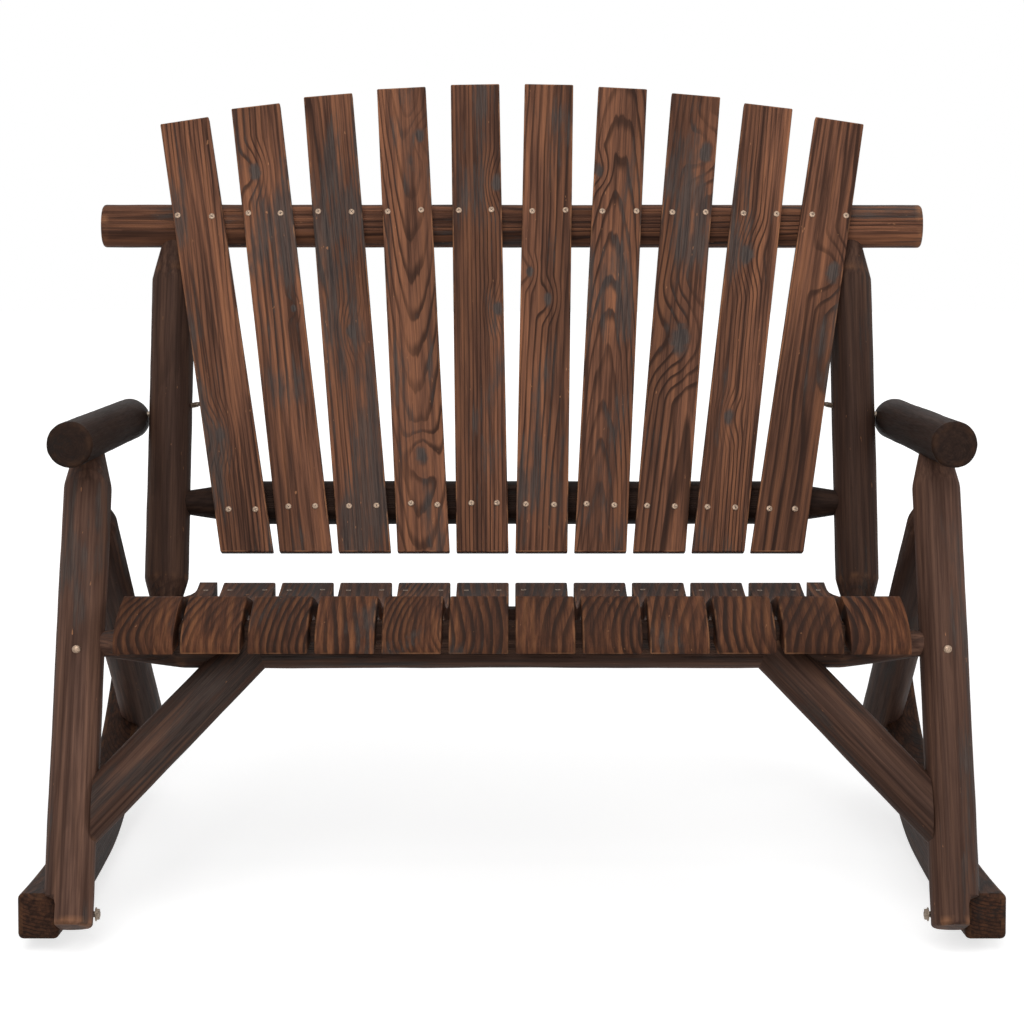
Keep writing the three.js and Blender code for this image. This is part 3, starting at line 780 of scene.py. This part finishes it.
def arm_bolt(side):
    """The bolt through an armrest into its back post, with a pointed end."""
    outer = Plan.at(side * (Plan.leg_x + Plan.arm_r), Plan.arm_bolt_y, Plan.arm_bolt_z[0])
    end_x = Plan.post_x - Plan.log_r - Plan.arm_bolt_past
    inner = Plan.at(side * end_x, Plan.arm_bolt_y, Plan.arm_bolt_z[1])
    axis = (inner - outer).normalized()
    reach = (inner - outer).length
    thread = threads(*(reach - place for place in ARM_BOLT_THREAD), BOLT_R)
    point = [(reach + place, r) for place, r in ARM_BOLT_POINT]
    shank = [(0.0, BOLT_R), (reach - ARM_BOLT_PLAIN, BOLT_R), *thread, *point]
    return [(outer - axis * BOLT_HEAD[0], axis, dome(*BOLT_HEAD), 32), (outer, axis, shank, 24)]


def rail_screw(side):
    """The screw that pins the front seat rail through a front leg."""
    z = Plan.front_rail_z
    front = Plan.at(side * Plan.leg_x, Plan.leg_y(z) - Plan.log_r / math.cos(Plan.lean), z)
    return [(front - ALONG_Y * RAIL_SCREW_HEAD[0], ALONG_Y, dome(*RAIL_SCREW_HEAD), 28),
            (front, ALONG_Y, RAIL_SCREW_SHANK, 16)]


def add_metal(node, parts, look="brass_plate"):
    name = node + "_metal"
    finish_piece(turned(parts, name), name, node, look)


# Operators

class BENCH_OT_legs(bpy.types.Operator):
    """Make the front legs, tapered into the armrests and lapped on the rockers, and the rear legs"""
    bl_idname = "bench.legs"
    bl_label = "Legs"

    def execute(self, context):
        for word, side in SIDES:
            foot = Plan.at(side * Plan.leg_x, *Plan.leg_foot)
            z = Plan.arm_front[1] - 0.5 * Plan.arm_r
            top = Plan.at(side * Plan.leg_x, Plan.leg_y(z), z)
            add_log(f"front_leg_{word}", foot, top, (SAWN, Plan.leg_taper), 3 + side,
                    shape=lap(side))
            low = Plan.at(side * (Plan.leg_x + Plan.rear_splay), *Plan.rear_foot)
            high = Plan.at(side * Plan.leg_x, Plan.leg_y(Plan.rear_joint_z), Plan.rear_joint_z)
            high += (low - high).normalized() * Plan.rear_leg_short
            add_log(f"rear_leg_{word}", low, high, (SAWN, Plan.rear_leg_taper), 8 + side, 0.50,
                    shape=lap(side))
        return {"FINISHED"}


class BENCH_OT_armrests(bpy.types.Operator):
    """Make the two armrests, logs with sawn and rounded ends"""
    bl_idname = "bench.armrests"
    bl_label = "Armrests"

    def execute(self, context):
        for word, side in SIDES:
            front = Plan.at(side * Plan.leg_x, *Plan.arm_front)
            rear = Plan.at(side * Plan.leg_x, *Plan.arm_rear)
            add_log(f"armrest_{word}", front, rear, (SAWN, SAWN), 13 + side, 0.86, Plan.arm_r)
        return {"FINISHED"}


class BENCH_OT_seat_rails(bpy.types.Operator):
    """Make the seat rails with their shaved tenons and milled faces, and the braces under them"""
    bl_idname = "bench.seat_rails"
    bl_label = "Seat rails and braces"

    def execute(self, context):
        ends = (Plan.rail_taper, Plan.rail_taper)
        front_y, front_z = Plan.leg_y(Plan.front_rail_z), Plan.front_rail_z
        half = Plan.leg_x - Plan.log_r + Plan.rail_in_leg
        front = Plan.at(0, front_y - Plan.log_r + Plan.front_flat, front_z)
        top = Plan.at(0, front_y, front_z + Plan.log_r - Plan.top_flat)
        milled = flats((front, (0, -1, 0), (0, 0, 1), True), (top, (0, 0, 1), (0, 1, 0), False))
        # Painted shade: the rail is darker under the seat slats and paler at its ends.
        add_log("front_seat_rail", Plan.at(-half, front_y, front_z), Plan.at(half, front_y, front_z),
                ends, 21, 0.34, shape=milled, pale_beyond=Plan.pale_beyond)
        y, z = Plan.rear_rail
        top = Plan.at(0, y, z + Plan.log_r - Plan.top_flat)
        half += Plan.rear_rail_longer
        add_log("rear_seat_rail", Plan.at(-half, y, z), Plan.at(half, y, z), ends, 22, 0.45,
                shape=flats((top, (0, 0, 1), (0, 1, 0), False)))
        for word, side in SIDES:
            high = Plan.at(side * Plan.brace_top_x, front_y, front_z)
            low = Plan.at(side * Plan.leg_x, Plan.leg_y(Plan.brace_foot_z), Plan.brace_foot_z)
            inward = (high - low).normalized() * Plan.brace_short
            name = f"brace_{word}_wood"
            mesh = log_mesh(name, low + inward, high - inward, Plan.log_r, (SAWN, SAWN),
                            Cut.of_log(24 + side, 0.42))
            cut_x = side * (Plan.leg_x - Plan.brace_cut)
            saw_off(mesh, Plan.at(cut_x, 0, 0), Vector((side, 0, 0)))
            finish_piece(mesh, name, f"brace_{word}", "log_fir")
        return {"FINISHED"}


class BENCH_OT_back_frame(bpy.types.Operator):
    """Make the back's posts and its two rails, milled where the slats lie on them"""
    bl_idname = "bench.back_frame"
    bl_label = "Back frame"

    def execute(self, context):
        back = Plan.back_matrix()
        turn = back.to_3x3()
        foot, top = Plan.post_ends
        for word, side in SIDES:
            x = side * Plan.post_x
            add_log(f"back_post_{word}", back @ Vector((x, 0, foot)), back @ Vector((x, 0, top)),
                    Plan.post_tapers, 31 + side, 0.46)
        face = back @ Vector((0, Plan.back_flat - Plan.log_r, 0))
        milled = flats((face, turn @ Vector((0, -1, 0)), turn @ Vector((0, 0, 1)), True))
        half, up = Plan.top_rail_half, Plan.top_rail_up
        add_log("top_back_rail", back @ Vector((-half, 0, up)), back @ Vector((half, 0, up)),
                (SAWN, SAWN), 34, shape=milled, look="board_fir")
        half, up = Plan.post_x - Plan.log_r + Plan.low_rail_in_post, Plan.low_rail_up
        add_log("lower_back_rail", back @ Vector((-half, 0, up)), back @ Vector((half, 0, up)),
                (Plan.low_rail_taper, Plan.low_rail_taper), 35, 0.84, shape=milled)
        return {"FINISHED"}


class BENCH_OT_rockers(bpy.types.Operator):
    """Make the two rockers, boards sawn to a curve with well rounded edges"""
    bl_idname = "bench.rockers"
    bl_label = "Rockers"

    def execute(self, context):
        edge = context.scene.bench_boards.rocker_edge
        for word, side in SIDES:
            add_board(f"rocker_{word}", edge, ALONG_Y, ALONG_X,
                      Cut(41 + side, (0.02, -0.05), (0.01, 0.02), depth=0.76), shortest=0.006)
        return {"FINISHED"}


class BENCH_OT_seat_slats(bpy.types.Operator):
    """Make the seat slats, bandsawn to the seat's curve, each from its own piece of the trunk"""
    bl_idname = "bench.seat_slats"
    bl_label = "Seat slats"

    def execute(self, context):
        edge = context.scene.bench_boards.seat_edge
        for i, node in enumerate(SEAT_SLATS):
            rng = random.Random(500 + i)
            hand = rng.choice((-1, 1))
            lean = hand * rng.uniform(0.02, 0.26)
            pith = (hand * rng.uniform(0.075, 0.13) + lean * 0.25, rng.uniform(-0.04, 0.01))
            cut = Cut(50 + i, pith, (lean, rng.uniform(-0.04, 0.04)), rng.uniform(1.35, 2.9),
                      rng.uniform(0.26, 0.42))
            add_board(node, edge, ALONG_Y, ALONG_X, cut, "seat_fir")
        return {"FINISHED"}


# Flame grain where the pith lies behind a slat and drifts along it, straight grain where it lies
# beside it. Knots are across, up from the slat's middle, and radius.
BACK_CUTS = (
    Cut(71, (0.055, 0.012), (0.03, 0.02), 1.3, 0.06, ((-0.016, -0.15, 0.009),)),
    Cut(72, (0.06, 0.03), (0.04, -0.03), 1.9, 0.0, ((-0.012, 0.225, 0.008), (0.02, 0.02, 0.004))),
    Cut(73, (-0.04, 0.02), (0.02, 0.03), 1.1, 0.05, ((0.006, -0.02, 0.008),)),
    Cut(74, (0.004, 0.046), (0.01, -0.08), 0.95, 0.0, ((0.003, -0.2, 0.008), (0.022, 0.262, 0.007))),
    Cut(75, (-0.07, 0.012), (0.01, 0.01), 1.2, 0.0, ((0.028, 0.19, 0.008), (0.026, 0.006, 0.007))),
    Cut(76, (0.06, 0.03), (0.02, 0.03), 1.7, 0.06, ((0.004, 0.02, 0.006), (-0.022, 0.06, 0.005))),
    Cut(77, (-0.002, 0.04), (0.01, 0.065), 0.85, 0.03, ((-0.026, 0.21, 0.006),)),
    Cut(78, (0.03, 0.04), (0.03, 0.04), 1.4, 0.03, ((0.006, -0.03, 0.014), (0.02, 0.245, 0.01))),
    Cut(79, (-0.06, 0.02), (-0.02, 0.03), 1.1, 0.0,
        ((-0.006, 0.1, 0.01), (-0.006, -0.135, 0.007))),
    Cut(80, (0.04, 0.036), (0.03, -0.03), 1.9, 0.06, ((0.022, 0.09, 0.01),)),
)


class BENCH_OT_back_slats(bpy.types.Operator):
    """Make the back slats, fanned and leaning with the back, each with its own grain"""
    bl_idname = "bench.back_slats"
    bl_label = "Back slats"

    def execute(self, context):
        edge = context.scene.bench_boards.back_edge
        turn = Plan.back_matrix().to_3x3()
        for i, node in enumerate(BACK_SLATS):
            lean = math.atan((i - BACK_MIDDLE) * Plan.slat_fan)
            along = turn @ Vector((math.sin(lean), 0, math.cos(lean)))
            across = turn @ Vector((math.cos(lean), 0, -math.sin(lean)))
            add_board(node, edge, along, across, BACK_CUTS[i])
        return {"FINISHED"}


class BENCH_OT_bolts(bpy.types.Operator):
    """Make the bolts through the rockers and the armrests, and the screws that pin the front rail"""
    bl_idname = "bench.bolts"
    bl_label = "Bolts"

    def execute(self, context):
        for word, side in SIDES:
            inner = Plan.leg_x - Plan.log_r
            for place, y, inner_x in (("front", Plan.front_bolt_y, inner),
                                      ("rear", Plan.rear_bolt_y, inner + Plan.rear_splay)):
                z = sum(point[1] for point in Plan.rocker(y)) / 2
                outer = Plan.at(side * (Plan.half_w - Plan.bolt_sink), y, z)
                add_metal(f"rocker_{place}_bolt_{word}",
                          rocker_bolt(outer, Plan.at(side * inner_x, y, z)))
            add_metal(f"arm_bolt_{word}", arm_bolt(side))
            add_metal(f"rail_screw_{word}", rail_screw(side), "screw_plate")
        return {"FINISHED"}


# The two rows of screws in the back slats: how far up the back each lies, how many times the
# set distance its screws are from their slat's middle, and how far towards the bench's middle.
BACK_SCREWS = ((0.0670, 1.0, 0.0030), (0.4875, 1.26, -0.0035))
# The rows sag towards the sides, and each screw strays a little. Seat screws keep off the slats'
# sides and sink into their tops.
BACK_SCREW_SAG = 0.0078
BACK_SCREW_STRAY = (0.0012, 0.0015)
SEAT_SCREW_PART = 1.28
SEAT_SCREW_STRAY = (0.0015, 0.002)
SEAT_SCREW_CLEAR = 0.004
SEAT_SCREW_SINK = 0.0007
OVER_SEAT_Z = 0.6
# The two bars painted with the recess's shade: their width and height, and how far up the head they
# sit, as a share of its height.
RECESS = (0.0008, 0.0005)
RECESS_UP = 0.86
SCREW_INPUTS = {"Head radius": "head_r", "Head height": "head_h", "Drive width": "drive"}


def screw_tree():
    """A node tree that sets a domed screw head with a cross recess on every point."""
    tree = bpy.data.node_groups.new("slat_screws", "GeometryNodeTree")
    face = tree.interface
    face.new_socket("Points", in_out="INPUT", socket_type="NodeSocketGeometry")
    for label in SCREW_INPUTS:
        face.new_socket(label, in_out="INPUT", socket_type="NodeSocketFloat")
    face.new_socket("Screws", in_out="OUTPUT", socket_type="NodeSocketGeometry")
    g = Nodes(tree)

    def dressed(shape, look):
        return g.fed("GeometryNodeSetMaterial", {"Geometry": shape, "Material": material(look)})

    given = g.node("NodeGroupInput").outputs
    radius, height = given["Head radius"], given["Head height"]
    ball = g.fed("GeometryNodeMeshUVSphere", {"Segments": 20, "Rings": 10, "Radius": radius})
    pressed = g.fed("GeometryNodeTransform", {
        "Geometry": ball, "Scale": g.join(1.0, 1.0, g.math("DIVIDE", height, radius))})
    parts = [dressed(g.fed("GeometryNodeSetShadeSmooth", (pressed,)), "screw_plate")]
    lift = g.join(0.0, 0.0, g.times(height, RECESS_UP))
    # The cross recess: two thin bars on the head, painted dark with the recess's shade.
    for turned_by in (0.0, math.pi / 2):
        bar = g.fed("GeometryNodeMeshCube", {"Size": g.join(given["Drive width"], *RECESS)})
        placed = g.fed("GeometryNodeTransform", {
            "Geometry": bar, "Translation": lift, "Rotation": (0, 0, turned_by)})
        parts.append(dressed(placed, "screw_recess"))
    both = g.node("GeometryNodeJoinGeometry")
    for part in reversed(parts):
        g.feed(both.inputs[0], part)
    turn = g.fed("GeometryNodeInputNamedAttribute", {"Name": "turn"}, data_type="FLOAT_VECTOR")
    spread = g.fed("GeometryNodeInstanceOnPoints", {
        "Points": given["Points"], "Instance": both.outputs[0],
        "Rotation": g.fed("FunctionNodeEulerToRotation", (turn,))})
    g.fed("NodeGroupOutput", (g.fed("GeometryNodeRealizeInstances", (spread,)),))
    return tree


class BENCH_OT_slat_screws(bpy.types.Operator):
    """Drive two screws through each back slat into both back rails, and through the seat slats"""
    bl_idname = "bench.slat_screws"
    bl_label = "Slat screws"

    def execute(self, context):
        values = context.scene.bench_screws
        tree = screw_tree()
        for name, spots in (("back_slat_screws", self.back_spots(values)),
                            ("seat_slat_screws", self.seat_spots(values))):
            mesh = bpy.data.meshes.new(name)
            mesh.from_pydata([p for p, _ in spots], [], [])
            write_layer(mesh, "turn", [t for _, t in spots])
            holder = link(name, mesh)
            grown = holder.modifiers.new("screws", "NODES")
            grown.node_group = tree
            for item in tree.interface.items_tree:
                if item.in_out == "INPUT" and item.name in SCREW_INPUTS:
                    grown[item.identifier] = getattr(values, SCREW_INPUTS[item.name])
            graph = context.evaluated_depsgraph_get()
            made = bpy.data.meshes.new_from_object(holder.evaluated_get(graph))
            bpy.data.objects.remove(holder)
            made.name = name
            piece = link(name, made)
            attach(piece, "root")
        return {"FINISHED"}

    def back_spots(self, values):
        """Places and turns of the heads on the back slats' faces."""
        back = Plan.back_matrix()
        face = Plan.back_flat - Plan.log_r - Plan.gap - Plan.slat_t
        rng = random.Random(11)
        spots = []
        for i in range(len(BACK_SLATS)):
            offset = i - BACK_MIDDLE
            for up, part, nudge in BACK_SCREWS:
                middle = offset * (Plan.slat_pitch + Plan.slat_fan * up)
                middle -= nudge * math.copysign(1, offset)
                for side in (-1, 1):
                    astray = [rng.uniform(-far, far) for far in BACK_SCREW_STRAY]
                    x = middle + side * values.spread * part + astray[0]
                    z = up - BACK_SCREW_SAG * (offset / BACK_MIDDLE) ** 2 + astray[1]
                    spots.append((back @ Vector((x, face, z)), self.facing(
                        back.to_3x3() @ Vector((0, -1, 0)), rng.uniform(0, math.pi))))
        return spots

    def seat_spots(self, values):
        """Places and turns of the heads on the seat slats, found on their tops by rays."""
        rng = random.Random(12)
        spots = []
        for node in SEAT_SLATS:
            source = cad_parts[node].data
            tree = BVHTree.FromPolygons([v.co for v in source.vertices],
                                        [p.vertices for p in source.polygons])
            low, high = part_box(node)
            middle = (low.x + high.x) / 2
            for side in (-1, 1):
                far, along = SEAT_SCREW_STRAY
                x = middle + side * values.spread * SEAT_SCREW_PART + rng.uniform(-far, far)
                if not low.x + SEAT_SCREW_CLEAR < x < high.x - SEAT_SCREW_CLEAR:
                    continue
                start = Plan.at(x, Plan.rear_rail[0] + rng.uniform(-along, along), OVER_SEAT_Z)
                at, normal, _, _ = tree.ray_cast(start, Vector((0, 0, -1)))
                if at:
                    at -= normal * SEAT_SCREW_SINK
                    spots.append((at, self.facing(normal, rng.uniform(0, math.pi))))
        return spots

    def facing(self, normal, spin):
        turn = normal.to_track_quat("Z", "Y") @ Quaternion((0, 0, 1), spin)
        return tuple(turn.to_euler())


# Each lamp's place, what it points at, its size in metres and its power in watts
LAMPS = (
    ("lamp_front", (-0.5, -3.4, 2.4), (0, 0, 0.6), 2.2, 92),
    ("lamp_side", (2.8, -1.8, 1.7), (0, 0, 0.5), 1.8, 22),
    ("lamp_top", (0.0, 0.2, 3.2), (0, 0, 0.4), 2.6, 24),
)


class BENCH_OT_stage(bpy.types.Operator):
    """Set up the pale floor, the soft studio lamps and the camera"""
    bl_idname = "bench.stage"
    bl_label = "Stage"

    def execute(self, context):
        values = context.scene.bench_stage
        scene = context.scene
        scene.view_settings.view_transform = "Standard"
        camera = link("camera", bpy.data.cameras.new("camera"))
        camera.data.sensor_width = 36
        camera.data.lens = values.lens
        camera.location = (0, -values.distance, values.height)
        camera.rotation_euler = (math.pi / 2 - values.pitch, 0, 0)
        scene.camera = camera
        floor = bpy.data.meshes.new("floor")
        floor.from_pydata([(-9, -9, 0), (9, -9, 0), (9, 9, 0), (-9, 9, 0)], [], [(0, 1, 2, 3)])
        floor.materials.append(self.floor_material())
        ground = link("floor", floor)
        for name, place, aim, size, power in LAMPS:
            lamp = bpy.data.lights.new(name, "AREA")
            lamp.size, lamp.energy = size, power
            held = link(name, lamp)
            held.location = place
            held.rotation_euler = (Vector(aim) - Vector(place)).to_track_quat("-Z", "Y").to_euler()
        world = bpy.data.worlds.new("studio")
        scene.world = world
        world.use_nodes = True
        w = Nodes(world.node_tree)
        strength = w.spread(self.seen_white(w), 0, 1, 0.36, 1.0, smooth=False)
        shell = w.fed("ShaderNodeBackground", {"Color": (1, 1, 1, 1), "Strength": strength})
        w.fed("ShaderNodeOutputWorld", (shell,))
        return {"FINISHED"}

    def seen_white(self, nodes):
        """1 for rays from the camera, a reflection or clear glass, otherwise 0."""
        path = nodes.node("ShaderNodeLightPath").outputs
        seen = path["Is Camera Ray"]
        for name in ("Is Glossy Ray", "Is Transmission Ray"):
            seen = nodes.math("MAXIMUM", seen, path[name])
        return seen

    def floor_material(self):
        """A pale floor that shows white to the camera and keeps the bench's shadow."""
        made = bpy.data.materials.new("pale_floor")
        made.use_nodes = True
        f = Nodes(made.node_tree)
        matt = f.fed("ShaderNodeBsdfDiffuse", {"Color": (0.62, 0.62, 0.62, 1)})
        place = f.node("ShaderNodeTexCoord").outputs["Object"]
        level = f.spread(f.vector("LENGTH", place, output=1), 0.9, 3.0, 0.69, 0.96, smooth=False)
        strength = f.times(self.seen_white(f), level)
        glow = f.fed("ShaderNodeEmission", {"Strength": strength})
        f.fed("ShaderNodeOutputMaterial", (f.fed("ShaderNodeAddShader", (matt, glow)),))
        return made


OPERATORS = (
    BENCH_OT_stage, BENCH_OT_legs, BENCH_OT_armrests, BENCH_OT_seat_rails, BENCH_OT_back_frame,
    BENCH_OT_rockers, BENCH_OT_seat_slats, BENCH_OT_back_slats, BENCH_OT_bolts,
    BENCH_OT_slat_screws,
)


class BENCH_PT_panel(bpy.types.Panel):
    """The bench's sizes, colours and pieces"""
    bl_idname = "BENCH_PT_panel"
    bl_label = "Rocking Bench"
    bl_space_type = "VIEW_3D"
    bl_region_type = "UI"
    bl_category = "Rocking Bench"

    def draw(self, context):
        for label in SETTINGS:
            values = getattr(context.scene, label)
            part = self.layout.box()
            for key in values.bl_rna.properties.keys():
                if key not in ("rna_type", "name"):
                    part.prop(values, key)
        for operator in OPERATORS:
            self.layout.operator(operator.bl_idname)


SETTINGS = {
    "bench_logs": BenchLogs,
    "bench_boards": BenchBoards,
    "bench_finish": BenchFinish,
    "bench_screws": BenchScrews,
    "bench_stage": BenchStage,
}


def register():
    for kind in (*SETTINGS.values(), *OPERATORS, BENCH_PT_panel):
        bpy.utils.register_class(kind)
    for label, kind in SETTINGS.items():
        setattr(bpy.types.Scene, label, bpy.props.PointerProperty(type=kind))


def unregister():
    for label in SETTINGS:
        delattr(bpy.types.Scene, label)
    for kind in reversed((*SETTINGS.values(), *OPERATORS, BENCH_PT_panel)):
        bpy.utils.unregister_class(kind)


def main():
    register()
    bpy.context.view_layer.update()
    for operator in OPERATORS:
        group, name = operator.bl_idname.split(".")
        getattr(getattr(bpy.ops, group), name)()


if __name__ == "__main__":
    main()
